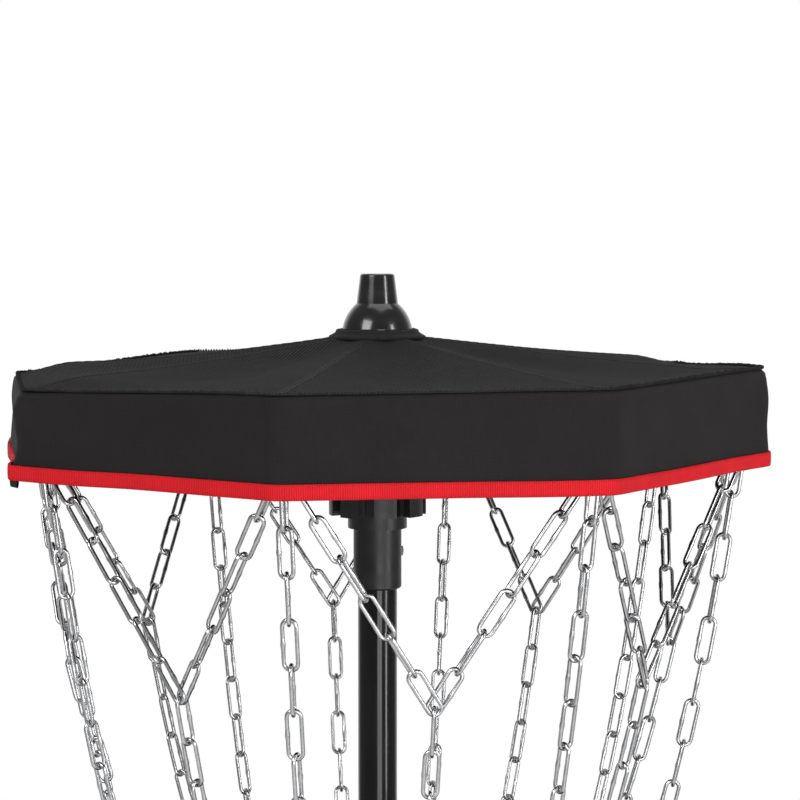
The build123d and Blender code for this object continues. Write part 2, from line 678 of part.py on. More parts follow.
def base_hub():
    """Fixed foot of the pole: a closed cup with trunnion seats for the three braces."""
    low, top, cup_r, floor_t = BASE_PIVOT_Z - 18, BASE_PIVOT_Z + 12, 20.2, 4.0
    bore = LOWER_R + SLIP
    with notched_hub(bore, low, top, 20.8, LEG_COUNT, LEG_FIRST_DEG) as made:
        trunnion_seats(BASE_PIVOT_R, BASE_PIVOT_Z, low, LEG_COUNT, LEG_FIRST_DEG, inward=4.0)
        disc(cup_r, POLE_FOOT - floor_t, low)
        fillet(made.faces().sort_by(Axis.Z)[0].edges(), radius=2.5)
        disc(bore, POLE_FOOT, top, Mode.SUBTRACT)
    return made.part


def leg():
    """Tripod leg: an eye in the runner's lugs, and a brace bracket under it."""
    plane = side_plane(LEG_PIVOT_R, LEG_TOP_Z, 90 - LEG_OPEN_DEG)
    eyes = [(0.0, LEG_PIN_R + PIN_ROOM)]
    return bracket_tube(plane, LEG_TUBE_R, LEG_WALL, (18.0, LEG_LENGTH), eyes, BRACE_AT, BRACE_DROP)


def leg_foot():
    """Rubber boot on a leg's end with a flat pad on the ground."""
    plane = side_plane(LEG_PIVOT_R, LEG_TOP_Z, 90 - LEG_OPEN_DEG)
    boot_r, boot_up, socket_up = 10.0, 36.0, 80.0
    foot_r = LEG_PIVOT_R + LEG_LENGTH * sin(LEG_OPEN)
    pad_x, pad_y, pad_z = FOOT_PAD
    with BuildPart() as made:
        boot_top = plane.from_local_coords((LEG_LENGTH - boot_up, 0, 0))
        with BuildSketch(Plane(origin=boot_top, z_dir=plane.x_dir)):
            Circle(boot_r)
        extrude(amount=boot_up + 2)
        with BuildSketch(Plane.XY):
            with Locations((foot_r, 0)):
                RectangleRounded(pad_x, pad_y, 8)
        extrude(amount=pad_z)
        socket_top = plane.from_local_coords((LEG_LENGTH - socket_up, 0, 0))
        with BuildSketch(Plane(origin=socket_top, z_dir=plane.x_dir)):
            Circle(LEG_TUBE_R + 0.05)
        extrude(amount=socket_up + 0.2, mode=Mode.SUBTRACT)
    return made.part


def pole_lower():
    """Lower tube with a rolled collar round its mouth, where the upper tube goes in."""
    with BuildPart() as made:
        disc(LOWER_R, POLE_FOOT, LOWER_TOP)
        disc(LOWER_R + 3, LOWER_TOP - 26, LOWER_TOP + 2)
        fillet(made.edges().filter_by(GeomType.CIRCLE).sort_by(Axis.Z)[-1], radius=1.5)
        disc(LOWER_R - LOWER_WALL, POLE_FOOT, LOWER_TOP + 2, Mode.SUBTRACT)
    return made.part


if __name__ == "__main__":
    print(f"Canopy runner slides {RUNNER_TRAVEL:.1f} mm down, and each strut turns {STRUT_TURN:.1f} degrees")
    print(f"Leg runner slides {LEG_RUNNER_TRAVEL:.1f} mm up, and each brace turns {BRACE_TURN:.1f} degrees")
    print(f"The basket's ribs fold up by {BASKET_FOLD_DEG:.0f} degrees")
    save(tube(POLE_R, POLE_WALL, LOWER_TOP - POLE_OVERLAP, POLE_TOP), "pole_upper")
    save(pole_lower(), "pole_lower")
    save(finial(), "finial")
    save(top_hub(), "top_hub")
    save(hub_pins(PIN_R, PIN_LENGTH / 2, PIVOT_R, CANOPY_PIVOT_Z), "top_hub_pins")
    save(canopy_runner(), "canopy_runner")
    save(knob(CANOPY_KNOB_Z, POLE_R + 0.1, CANOPY_KNOB_R + 0.4), "canopy_clamp_knob")
    rib, strut, strand = canopy_rib(), flat_link(STRUT_PLANE, STRUT_LENGTH), chain_strand()
    basket_spoke = basket_rib()
    for k in range(RIBS):
        save(turned(rib, k * STEP_DEG), f"canopy_rib_{k + 1}")
        save(turned(strut, k * STEP_DEG), f"canopy_strut_{k + 1}")
        save(turned(strand, k * STEP_DEG), f"chain_strand_{k + 1}")
        save(turned(basket_spoke, k * STEP_DEG), f"basket_rib_{k + 1}")
    save(chain_net(), "chain_net")
    save(chain_ring(), "chain_ring")
    save(canopy_cloth(), "canopy_fabric")
    save(canopy_binding(), "canopy_binding")
    save(basket_cloth(), "basket_fabric")
    save(basket_binding(), "basket_binding")
    save(basket_hub(), "basket_hub")
    save(hub_pins(PIN_R, PIN_LENGTH / 2, PIVOT_R, BASKET_PIVOT_Z), "basket_hub_pins")
    save(leg_runner(), "leg_runner")
    save(hub_pins(LEG_PIN_R, 7.4, LEG_PIVOT_R, LEG_TOP_Z, LEG_COUNT, LEG_FIRST_DEG), "leg_runner_pins")
    save(knob(LEG_TOP_Z, LOWER_R + 0.1, LEG_KNOB_R + 0.4, toward=-1), "leg_clamp_knob")
    save(base_hub(), "base_hub")
    tripod_leg, brace, foot = leg(), flat_link(BRACE_PLANE, BRACE_LENGTH), leg_foot()
    for k in range(LEG_COUNT):
        azimuth = LEG_FIRST_DEG + k * 360 / LEG_COUNT
        save(turned(tripod_leg, azimuth), f"leg_{k + 1}")
        save(turned(brace, azimuth), f"leg_brace_{k + 1}")
        save(turned(foot, azimuth), f"leg_foot_{k + 1}")
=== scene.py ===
"""Looks of the folding disc golf basket: cloth canopy and basket, webbing, chains and every material.
Metres, +Z up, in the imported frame. Rib k stands at 45 degrees times k, counted from +X."""

import random
from math import asinh, atan2, cos, cosh, hypot, pi, radians, sin, sinh, sqrt

import bpy
from mathutils import Matrix, Vector, noise


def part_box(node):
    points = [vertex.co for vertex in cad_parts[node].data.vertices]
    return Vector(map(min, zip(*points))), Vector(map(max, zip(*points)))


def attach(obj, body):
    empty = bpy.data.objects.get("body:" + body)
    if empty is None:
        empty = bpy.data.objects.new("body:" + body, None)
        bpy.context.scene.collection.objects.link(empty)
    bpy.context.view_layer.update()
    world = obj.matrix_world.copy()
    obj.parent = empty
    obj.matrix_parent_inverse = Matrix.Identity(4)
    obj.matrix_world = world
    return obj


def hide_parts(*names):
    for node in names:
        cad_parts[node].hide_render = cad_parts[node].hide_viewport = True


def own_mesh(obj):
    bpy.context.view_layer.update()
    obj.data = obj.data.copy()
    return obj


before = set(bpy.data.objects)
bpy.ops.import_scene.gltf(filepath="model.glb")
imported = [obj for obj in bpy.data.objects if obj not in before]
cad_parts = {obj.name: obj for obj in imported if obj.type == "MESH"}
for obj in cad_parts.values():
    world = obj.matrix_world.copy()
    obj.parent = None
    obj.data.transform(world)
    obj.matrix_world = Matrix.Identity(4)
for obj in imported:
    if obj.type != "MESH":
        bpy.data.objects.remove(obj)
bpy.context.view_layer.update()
random.seed(7)

MM = 0.001
RIBS = 8
HALF = radians(22.5)
UP = Vector((0, 0, 1))

# ---------------------------------------------------------------- sizes, from the frame
BAND_DROP, BINDING_H = 67 * MM, 10 * MM
RIM_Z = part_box("canopy_binding")[0][2] + BAND_DROP
RIM_R = 294 * MM
APEX_R, APEX_RISE = 30 * MM, 24.5 * MM
PANEL_W = 2 * RIM_R * sin(HALF)
TOP_SLANT = hypot(RIM_R - APEX_R, APEX_RISE)
TOP_BOW, PANEL_SAG = 0.07, 5.5 * MM
BAND_FLARE = 3 * MM
RIM_ROLL, ROLL_SHARE = 3.5 * MM, 0.08
WEB_T, WEB_CROWN = 0.9 * MM, 0.25 * MM
# how soft each octagon's corners are, as a share of half a panel
TOP_SOFT, BAND_SOFT, FLOOR_SOFT, WALL_SOFT = 0.035, 0.05, 0.06, 0.05
# how near a rib the cloth starts to turn, as a share of a panel
CORNER_BLEND = 0.06
# how far each corner of the rim lifts (or droops), and how far each ridge sags, in mm by rib
RIM_LIFT = (4.0, -5.0, 0.0, 0.0, -7.5, -5.5, 0.0, 1.0)
RIDGE_SAG = (0.0, 0.5, 0.0, 1.0, 3.0, 1.5, 0.0, 0.0)
# a corner's outline down the band: (share of the drop, mm outwards)
NEAT_CORNER = ((0.0, 0.0), (0.3, 1.8), (0.6, 0.3), (1.0, 0.8))
LOOSE_CORNER = ((0.0, -5.0), (0.1, 1.5), (0.24, 4.5), (0.42, 2.6), (0.65, 0.0), (0.86, 2.6), (1.0, 6.0))
LOOSE_RIB = 5
# the patch from the pole's hole to its edge: (radius, rise) in mm
PATCH_PROFILE = (
    (17, 3.6), (24, 4.0), (27, 4.8), (29, 6.0), (31, 5.4),
    (32, 3.4), (34, 2.4), (36.5, 1.4), (37.1, 0.2), (36.5, -0.9),
)
PATCH_SLOPE = 0.1
MESH_TEETH, CORD_R = 2.4 * MM, 1.15 * MM
SEAM_HALF, SEAM_CROWN = 3.0 * MM, 0.7 * MM
TAB_HALF, TAB_DROP, TAB_GAP = 6 * MM, 9 * MM, 2.2 * MM
BASKET_RIM_Z, BASKET_RIM_R = 820 * MM, 318 * MM
FLOOR_R, FLOOR_START_R = 236 * MM, 34 * MM
FLOOR_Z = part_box("basket_fabric")[0][2] + 2 * MM
FLOOR_SLOPE, FLOOR_RUN = 0.12, FLOOR_R - FLOOR_START_R
FLOOR_DIP, WALL_HOLLOW = 4.0 * MM, 4.0 * MM
FLOOR_EDGE_Z = FLOOR_Z + FLOOR_SLOPE * FLOOR_RUN
WALL_RUN, WALL_RISE = BASKET_RIM_R - FLOOR_R, BASKET_RIM_Z - FLOOR_EDGE_Z
WALL_SLANT = hypot(WALL_RUN, WALL_RISE)
CLOTH_HALF, WELT_R = 1 * MM, 1.6 * MM
RIB_R, RIB_OFF = 5 * MM, 9.5 * MM
# each loop round a basket rib: how far up the wall, and the arc that the webbing makes, in degrees
LOOP_PLACES = (0.3, 0.86)
LOOP_FROM, LOOP_TURN = -250, 320
LOOP_GAP, LOOP_W, LOOP_FOOT = 1.1 * MM, 12 * MM, 2.2 * MM

HANG_R = 272 * MM
HANG_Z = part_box("chain_strand_1")[1][2] - 2 * MM
HANGER_DROP, HANGER_R, HANGER_WIRE_R = 50 * MM, 12 * MM, 2 * MM
CHAIN_TOP_Z = HANG_Z - HANGER_DROP
WIRE_R, LINK_PITCH, LINK_WIDTH, LINK_STEP = 1.5 * MM, 32 * MM, 12.8 * MM, 31.75 * MM
STRAND_LINKS, LEG_LINKS, TAIL_LINKS = 19, 6, 13
HANG_GAP, RING_GAP, NET_GAP = 13.75 * MM, 13.55 * MM, 13.1 * MM
RING_R, RING_Z, NET_R, PAIR_HALF = 36 * MM, 850 * MM, 232 * MM, 1.7 * MM
LEG_FAN = radians(31)
LINK_ROLL = 16
WELD_BEAD, WELD_REACH = 0.28, 2.6


def outward(azimuth):
    """Unit vector away from the pole."""
    return Vector((cos(azimuth), sin(azimuth), 0))


def sideways(azimuth):
    """Unit vector round the pole."""
    return Vector((-sin(azimuth), cos(azimuth), 0))


# ---------------------------------------------------------------- shader helpers
class Shader:
    """One procedural material, built node by node around a Principled shader."""

    def __init__(self, name, **sockets):
        self.material = bpy.data.materials.new(name)
        self.material.use_nodes = True
        self.tree = self.material.node_tree
        self.main = self.tree.nodes["Principled BSDF"]
        for socket, value in sockets.items():
            self.main.inputs[socket.replace("_", " ")].default_value = value

    def node(self, kind, links=(), **settings):
        """Adds a node. Settings are its own properties, and links are (input, value or output socket)."""
        made = self.tree.nodes.new(kind)
        for key, value in settings.items():
            setattr(made, key, value)
        for key, value in links:
            if isinstance(value, bpy.types.NodeSocket):
                self.tree.links.new(value, made.inputs[key])
            else:
                made.inputs[key].default_value = value
        return made

    def join(self, output, socket):
        self.tree.links.new(output, self.main.inputs[socket])

    def coordinates(self, kind="UV", scale=(1, 1, 1), turn=0.0):
        source = self.node("ShaderNodeTexCoord")
        links = [(0, source.outputs[kind]), ("Scale", scale), ("Rotation", (0, 0, turn))]
        return self.node("ShaderNodeMapping", links).outputs[0]

    def math(self, operation, a, b=0.0):
        return self.node("ShaderNodeMath", [(0, a), (1, b)], operation=operation).outputs[0]

    def noise(self, vector, scale, detail=4.0, roughness=0.55):
        links = [("Vector", vector), ("Scale", scale), ("Detail", detail), ("Roughness", roughness)]
        return self.node("ShaderNodeTexNoise", links).outputs[0]

    def ridges(self, vector, pitch, along="X"):
        """Round ridges of one pitch, 0 in the grooves and 1 on top."""
        links = [("Vector", vector), ("Scale", pi / 10 / pitch)]
        return self.node("ShaderNodeTexWave", links, bands_direction=along).outputs["Fac"]

    def ramp(self, fac, *stops):
        """A colour ramp through (position, grey or colour) stops."""
        made = self.node("ShaderNodeValToRGB", [(0, fac)])
        line = made.color_ramp.elements
        while len(line) < len(stops):
            line.new(0.5)
        for element, (position, colour) in zip(line, stops):
            element.position = position
            rgb = colour if hasattr(colour, "__len__") else (colour,) * 3
            element.color = (*rgb, 1)
        return made.outputs[0]

    def bump(self, height, distance, strength=1.0, below=None):
        links = [("Height", height), ("Distance", distance), ("Strength", strength)]
        if below:
            links.append(("Normal", below))
        return self.node("ShaderNodeBump", links).outputs[0]


# pitches of the woven cloths, and how far the two sets of cords in the mesh lean, in degrees
THREAD_PITCH, MESH_PITCH, WEB_RIB_PITCH, WEB_YARN_PITCH = 0.9 * MM, 2.6 * MM, 1.5 * MM, 0.7 * MM
ROW_LEAN, TIE_LEAN = 18, -32


def plain_weave(name, dark, light, pitch):
    """Flat woven polyester: over-and-under threads, slubs and a soft sheen."""
    s = Shader(name, Roughness=0.8, Sheen_Weight=0.03, Sheen_Roughness=0.5, Specular_IOR_Level=0.2)
    uv = s.coordinates()
    warp, weft = s.ridges(uv, pitch, "X"), s.ridges(uv, pitch, "Y")
    checks = s.node("ShaderNodeTexChecker", [("Vector", uv), ("Scale", 1 / pitch)]).outputs["Fac"]
    threads = s.node("ShaderNodeMix", [(0, checks), (2, warp), (3, weft)]).outputs[0]
    slubs = s.noise(s.coordinates(scale=(900, 60, 1)), 1.0)
    worn = s.noise(s.coordinates("Object"), 22.0)
    height = s.math("ADD", threads, s.math("MULTIPLY", slubs, 0.5))
    shade = s.math("ADD", s.math("MULTIPLY", height, 0.5), s.math("MULTIPLY", worn, 0.35))
    s.join(s.ramp(shade, (0.15, dark), (0.9, light)), "Base Color")
    s.join(s.bump(height, 0.25 * MM, 0.6), "Normal")
    return s.material


def air_mesh(name, hole, thread, pitch):
    """Coarse open mesh: slanting rows of cord tied across by a second set, with dark cells between."""
    s = Shader(name, Roughness=0.85, Specular_IOR_Level=0.08)
    wobble = s.noise(s.coordinates("Object"), 60.0, 2.0)
    rows, ties = (s.ridges(s.coordinates(turn=radians(lean)), pitch) for lean in (ROW_LEAN, TIE_LEAN))
    cords = s.math("MAXIMUM", rows, s.math("MULTIPLY", ties, 0.7))
    fluff = s.noise(s.coordinates("Object"), 1400.0, 3.0)
    height = s.math("ADD", s.math("MULTIPLY", cords, 0.9), s.math("MULTIPLY", fluff, 0.35))
    shade = s.math("ADD", height, s.math("MULTIPLY", wobble, 0.25))
    s.join(s.ramp(shade, (0.45, hole), (0.78, (hole + thread) / 2), (1.25, thread)), "Base Color")
    s.join(s.bump(height, 0.8 * MM, 0.9), "Normal")
    return s.material


def grosgrain(name, dark, light):
    """Ribbed webbing: cross ribs over fine lengthwise yarn, with slight fading."""
    s = Shader(name, Roughness=0.7, Specular_IOR_Level=0.2)
    uv = s.coordinates()
    ribs, yarn = s.ridges(uv, WEB_RIB_PITCH, "X"), s.ridges(uv, WEB_YARN_PITCH, "Y")
    fade = s.noise(s.coordinates("Object"), 35.0)
    height = s.math("ADD", ribs, s.math("MULTIPLY", yarn, 0.3))
    shade = s.math("ADD", s.math("MULTIPLY", height, 0.5), s.math("MULTIPLY", fade, 0.45))
    s.join(s.ramp(shade, (0.2, dark), (0.85, light)), "Base Color")
    s.join(s.bump(height, 0.35 * MM, 0.8), "Normal")
    return s.material


def zinc_plate(name):
    """Bright zinc on wire: cloudy roughness, drawing marks and dull spots."""
    s = Shader(name, Metallic=1.0)
    clouds = s.noise(s.coordinates("Object"), 140.0, 4.0)
    grain = s.noise(s.coordinates("Object"), 2400.0, 3.0)
    s.join(s.ramp(clouds, (0.3, (0.5, 0.51, 0.52)), (0.65, (0.7, 0.7, 0.71))), "Base Color")
    s.join(s.ramp(clouds, (0.3, 0.3), (0.7, 0.18)), "Roughness")
    s.join(s.bump(s.math("ADD", clouds, s.math("MULTIPLY", grain, 0.2)), 0.06 * MM, 0.3), "Normal")
    return s.material


def enamel(name, colour, rough, peel):
    """Sprayed black enamel with orange peel, handling marks and a clear gloss."""
    s = Shader(name, Coat_Weight=0.35, Coat_Roughness=0.08, Specular_IOR_Level=0.3)
    marks = s.noise(s.coordinates("Object", (1, 1, 0.15)), 90.0, 6.0)
    skin = s.noise(s.coordinates("Object"), 420.0, 2.0)
    s.join(s.ramp(marks, (0.3, colour * 0.7), (0.75, colour * 1.6)), "Base Color")
    s.join(s.ramp(marks, (0.35, rough), (0.8, rough + 0.18)), "Roughness")
    s.join(s.bump(skin, 0.06 * MM, peel), "Normal")
    return s.material


def moulded(name, colour, rough, coat=0.0):
    """Moulded black plastic: fine spark-eroded grain and slight flow marks."""
    s = Shader(name, Specular_IOR_Level=0.5, Coat_Weight=coat, Coat_Roughness=0.12)
    grain = s.noise(s.coordinates("Object"), 1800.0, 3.0)
    flow = s.noise(s.coordinates("Object", (1, 1, 3)), 40.0, 3.0)
    s.join(s.ramp(flow, (0.3, colour * 0.8), (0.7, colour * 1.3)), "Base Color")
    s.join(s.ramp(flow, (0.3, rough), (0.75, rough + 0.12)), "Roughness")
    s.join(s.bump(grain, 0.05 * MM, 0.35), "Normal")
    return s.material


def bare_steel(name):
    """Plain machined pin steel with turning marks."""
    s = Shader(name, Metallic=1.0)
    turning = s.noise(s.coordinates("Object"), 900.0, 4.0)
    s.join(s.ramp(turning, (0.3, 0.35), (0.7, 0.55)), "Base Color")
    s.join(s.ramp(turning, (0.3, 0.28), (0.7, 0.45)), "Roughness")
    s.join(s.bump(turning, 0.04 * MM, 0.4), "Normal")
    return s.material


WARM_BLACK, WARM_CHARCOAL = (0.0045, 0.0037, 0.0039), (0.024, 0.0205, 0.021)
CLOTH = plain_weave("black_polyester", WARM_BLACK, WARM_CHARCOAL, THREAD_PITCH)
MESH = air_mesh("charcoal_air_mesh", 0.001, 0.036, MESH_PITCH)
RED = grosgrain("red_webbing", (0.5, 0.006, 0.012), (0.9, 0.014, 0.024))
TAPE = grosgrain("black_webbing", (0.003,) * 3, (0.018,) * 3)
# the selvage's cord: black like the mesh, but painted lighter as a painted highlight where the rounded rim
# catches light
CORD_WITH_PAINTED_HIGHLIGHT = grosgrain("mesh_cord_with_painted_highlight", (0.01,) * 3, (0.06,) * 3)
ZINC = zinc_plate("bright_zinc")
GLOSS_BLACK = enamel("gloss_enamel", 0.004, 0.12, 0.15)
SATIN_BLACK = enamel("satin_enamel", 0.014, 0.3, 0.35)
CAP_PLASTIC = moulded("gloss_plastic", 0.008, 0.16, 0.5)
HUB_PLASTIC = moulded("satin_plastic", 0.016, 0.36)
RUBBER = moulded("boot_rubber", 0.02, 0.7)
STEEL = bare_steel("pin_steel")


# ---------------------------------------------------------------- mesh helpers
def panel_uv(centre, co):
    """Metric UVs of a flat-cut gore: across and out from the pole, in the panel that holds the centre."""
    azimuth = (atan2(centre.y, centre.x) // (2 * HALF) + 0.5) * 2 * HALF
    return co.dot(sideways(azimuth)), co.dot(outward(azimuth))


def new_object(name, vertices, faces, material, uvs=None, normals=None):
    """A smooth mesh object. uvs is a list with one metric UV a vertex, or a function of (centre, vertex)."""
    mesh = bpy.data.meshes.new(name)
    mesh.from_pydata(vertices, [], faces)
    mesh.materials.append(material)
    mesh.polygons.foreach_set("use_smooth", [True] * len(mesh.polygons))
    if uvs:
        layer = mesh.uv_layers.new(name="metric")
        for face in mesh.polygons:
            for loop in face.loop_indices:
                v = mesh.loops[loop].vertex_index
                layer.data[loop].uv = uvs(face.center, mesh.vertices[v].co) if callable(uvs) else uvs[v]
    mesh.update()
    if normals:
        mesh.normals_split_custom_set_from_vertices(normals)
    made = bpy.data.objects.new(name, mesh)
    bpy.context.scene.collection.objects.link(made)
    return made


def grid_faces(rows, columns, wrap=False):
    """Quads over a grid of vertices, facing (row direction) x (column direction). wrap makes it a tube."""
    faces = []
    for i in range(0, (rows - 1) * columns, columns):
        for j in range(columns if wrap else columns - 1):
            beside = (j + 1) % columns
            faces.append((i + j, i + columns + j, i + columns + beside, i + beside))
    return faces


def surface(name, point, k, depth, columns, rows, material, gore=False):
    """Rib k's part of a cloth surface point(s, t), with normals shared with its neighbours.
    s counts ribs round the pole, t runs from 0 to 1 across the cloth, and depth is its length along t.
    The weave of a gore runs straight over each panel, and that of other cloth runs on round the corners."""
    step = 1e-3
    vertices, uvs, normals = [], [], []
    for i in range(rows + 1):
        t = i / rows
        for j in range(columns + 1):
            s = k + j / columns - 0.5
            here = point(s, t)
            across = point(s + step, t) - point(s - step, t)
            along = point(s, min(t + step, 1)) - point(s, max(t - step, 0))
            vertices.append(here)
            normals.append(along.cross(across).normalized())
            uvs.append((s * PANEL_W, t * depth))
    faces = grid_faces(rows + 1, columns + 1)
    return new_object(name, vertices, faces, material, panel_uv if gore else uvs, normals)


def strip(name, point, k, section, columns, material):
    """A closed section of (out, up) offsets run along the cloth's edge point(s) within rib k's share."""
    vertices, uvs = [], []
    for i in range(columns + 1):
        s = k + i / columns - 0.5
        here, out = point(s)
        girth = 0.0
        for j, (offset, rise) in enumerate(section):
            if j:
                girth += hypot(offset - section[j - 1][0], rise - section[j - 1][1])
            vertices.append(here + out * offset + UP * rise)
            uvs.append((s * PANEL_W, girth))
    faces = grid_faces(columns + 1, len(section), wrap=True)
    return new_object(name, vertices, faces, material, uvs)


def octagon(s, radius, soft):
    """A point on a soft-cornered octagon. Whole numbers of s are its corners, and halves are mid-panel."""
    k = round(s)
    u = 2 * (s - k)
    bend = sqrt(u * u + soft * soft) - (sqrt(1 + soft * soft) - 1)
    corner = k * 2 * HALF
    out = 1 - sin(HALF) ** 2 * bend
    along = sin(HALF) * cos(HALF) * u
    return (outward(corner) * out + sideways(corner) * along) * radius


def facing(s):
    """The outward direction of the band at s: square to a panel, and blended over a corner."""
    panel = (int(s // 1) + 0.5) * 2 * HALF
    k = round(s)
    share = min(abs(s - k) / CORNER_BLEND, 1.0)
    return (outward(panel) * share + outward(k * 2 * HALF) * (1 - share)).normalized()


def midness(s):
    """0 on a rib and 1 in the middle of a panel."""
    return sin(pi * abs(s - round(s))) ** 2


def ease(x):
    """Smooth step from 0 to 1."""
    x = min(max(x, 0.0), 1.0)
    return x * x * (3 - 2 * x)


def between(table, t):
    """Reads a table of (share, mm) pairs at t, smoothly, in metres."""
    for (a, low), (b, high) in zip(table, table[1:]):
        if t <= b:
            return MM * (low + (high - low) * ease((t - a) / (b - a)))
    return MM * table[-1][1]


def round_rim(values, s):
    """Reads one value per rib at s, smoothly, in metres."""
    k = int(s // 1)
    return MM * (values[k % RIBS] + (values[(k + 1) % RIBS] - values[k % RIBS]) * ease(s - k))


# ---------------------------------------------------------------- canopy
def top_point(s, t):
    """The canopy's top: ridges on the ribs, and panels that sag and swell between them."""
    p = octagon(s, APEX_R + t * (RIM_R - 0.7 * RIM_ROLL - APEX_R), TOP_SOFT)
    drop = APEX_RISE * (t + TOP_BOW * sin(pi * t)) + round_rim(RIDGE_SAG, s) * sin(pi * t)
    drop -= round_rim(RIM_LIFT, s) * ease((t - 0.82) / 0.18)
    sag = PANEL_SAG * sin(pi * min(t * 1.05, 1)) ** 0.8 * midness(s)
    swell = noise.noise(p * 13) * 1.6 * MM + noise.noise(p * 42) * 0.5 * MM
    free = (midness(s) * 0.8 + 0.2) * min(1, 4 * (1 - t)) * min(1, 6 * t)
    return p + UP * (RIM_Z + APEX_RISE - drop - sag + swell * free)


def band_point(s, t):
    """The hanging band: it rolls over the rim and waves more towards its lower edge, and its corners bulge.
    One corner hangs looser than the others."""
    flat = octagon(s, RIM_R + BAND_FLARE * t, BAND_SOFT)
    k = round(s)
    loose = k % RIBS == LOOSE_RIB
    reach = 0.2 if loose else 0.12
    corner = max(0.0, 1 - abs(s - k) / reach) ** 1.5
    profile = between(LOOSE_CORNER if loose else NEAT_CORNER, t)
    wave = noise.noise(Vector((flat.x * 11, flat.y * 11, 3 + t))) * 3.0 * MM * t
    ripple = noise.noise(Vector((flat.x * 30, flat.y * 30, 9 + t * 2))) * 0.9 * MM
    ripple *= sin(pi * min(t * 1.2, 1))
    lift = noise.noise(Vector((flat.x * 9, flat.y * 9, 20))) * 1.6 * MM * t
    out = corner * profile + (wave + ripple) * (1 - 0.6 * corner)
    drop = BAND_DROP * t
    if t < ROLL_SHARE:
        turn = pi / 2 * (1 - t / ROLL_SHARE)
        out += RIM_ROLL * (cos(turn) - 1)
        drop = RIM_ROLL * (1 - sin(turn)) + (BAND_DROP * ROLL_SHARE - RIM_ROLL) * t / ROLL_SHARE
    return flat + facing(s) * out + UP * (RIM_Z - drop + lift + round_rim(RIM_LIFT, s) * (1 - t) ** 2)


def band_edge(s):
    """Where the binding holds the band's lower edge."""
    return band_point(s, 1), facing(s)


def tape_section():
    """Webbing folded over an edge, as (out, up) offsets: up the outside and down the inside."""
    fat = WEB_T + WEB_CROWN
    side = [(WEB_T, 0.0), (fat, BINDING_H * 0.3), (fat, BINDING_H * 0.75), (WEB_T, BINDING_H)]
    inside = [(-out, up) for out, up in reversed(side)]
    return [(0.0, -0.8 * WEB_T), *side, (0.0, BINDING_H * 0.97), *inside]


def round_section(radius, count=10):
    return [(radius * cos(a), radius * sin(a)) for a in (2 * pi * i / count for i in range(count))]


def canopy_seam(k):
    """The felled seam over a rib: a narrow double welt from the patch to the rim."""
    columns, rows, start = 12, 90, 0.03
    vertices, uvs = [], []
    for i in range(rows + 1):
        t = start + (1 - start) * i / rows
        for j in range(columns + 1):
            y = SEAM_HALF * (2 * j / columns - 1)
            r = APEX_R + t * (RIM_R - APEX_R)
            s = k + y / (2 * r * sin(HALF) * cos(HALF))
            rise = SEAM_CROWN * sin(2 * pi * j / columns) ** 2 - 0.1 * MM
            pucker = 0.2 * MM * sin(i * 2.1) * sin(pi * j / columns)
            vertices.append(top_point(s, t) + UP * (rise + pucker))
            uvs.append((y, r))
    return new_object(f"canopy_seam_{k + 1}", vertices, grid_faces(rows + 1, columns + 1), TAPE, uvs)


def mesh_selvage(k):
    """The rough cut edge of the mesh, which shows as a row of teeth along the rim's inner side. Its cord is
    painted lighter than the mesh's own black cord, as a painted highlight where the rim catches light.
    """
    columns, sides = 300, 7
    pitch = PANEL_W / columns
    vertices = []
    for i in range(columns + 1):
        s = k + i / columns - 0.5
        tooth = 0.8 + 0.5 * sin(2 * pi * i * pitch / MESH_TEETH) + 0.5 * noise.noise(Vector((s * 90, 0, 0)))
        for j in range(sides):
            a = 2 * pi * j / sides
            out = facing(s) * (CORD_R * cos(a) - 0.6 * MM)
            vertices.append(top_point(s, 1) + (out + UP * (CORD_R * sin(a) + 0.7 * MM)) * tooth)
    faces = grid_faces(columns + 1, sides, wrap=True)
    return new_object(f"canopy_selvage_{k + 1}", vertices, faces, CORD_WITH_PAINTED_HIGHLIGHT)


def fold_with_rib(piece, k, body):
    """Rides on a rib."""
    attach(piece, f"{body}_{k + 1}")
    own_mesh(piece)


def build_canopy():
    for k in range(RIBS):
        n = k + 1
        top = surface(f"canopy_top_{n}", top_point, k, TOP_SLANT, 36, 44, MESH, gore=True)
        band = surface(f"canopy_band_{n}", band_point, k, BAND_DROP, 72, 20, CLOTH)
        binding = strip(f"canopy_binding_{n}", band_edge, k, tape_section(), 72, RED)
        selvage, seam = mesh_selvage(k), canopy_seam(k)
        for piece in (top, band, selvage, seam):
            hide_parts("canopy_fabric")
        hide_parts("canopy_binding")
        for piece in (top, band, binding, selvage, seam):
            fold_with_rib(piece, k, "canopy_rib")


def build_patch():
    """Round patch on the apex, with a stitched rim and a raised ring that grips the finial."""
    turns = 96
    vertices, uvs = [], []
    for radius_mm, rise_mm in PATCH_PROFILE:
        r = radius_mm * MM
        z = RIM_Z + APEX_RISE + rise_mm * MM - max(0.0, r - APEX_R) * PATCH_SLOPE
        for j in range(turns):
            a = 2 * pi * j / turns
            pucker = noise.noise(outward(a) * 9 + UP * r * 60) * 0.5 * MM
            vertices.append(outward(a) * r + UP * (z + pucker))
            uvs.append((r * cos(a), r * sin(a)))
    faces = grid_faces(len(PATCH_PROFILE), turns, wrap=True)
    patch = new_object("canopy_patch", vertices, faces, CLOTH, uvs)
    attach(patch, "frame")
    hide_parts("canopy_fabric")


def build_tab():
    """A short loop of black webbing sewn behind the binding at the loose corner."""
    k, rows, columns = LOOSE_RIB, 16, 5
    edge, out = band_edge(k)
    side = sideways(k * 2 * HALF)
    vertices, uvs = [], []
    for i in range(rows + 1):
        a = pi * i / rows
        drop, thick = TAB_DROP * sin(a), TAB_GAP * cos(a)
        for j in range(columns + 1):
            y = TAB_HALF * (2 * j / columns - 1)
            vertices.append(edge + side * y - out * (3.5 * MM - thick * 0.5) + UP * (3 * MM - drop))
            uvs.append((y, i * MM))
    tab = new_object("corner_tab", vertices, grid_faces(rows + 1, columns + 1), TAPE, uvs)
    fold_with_rib(tab, k, "canopy_rib")


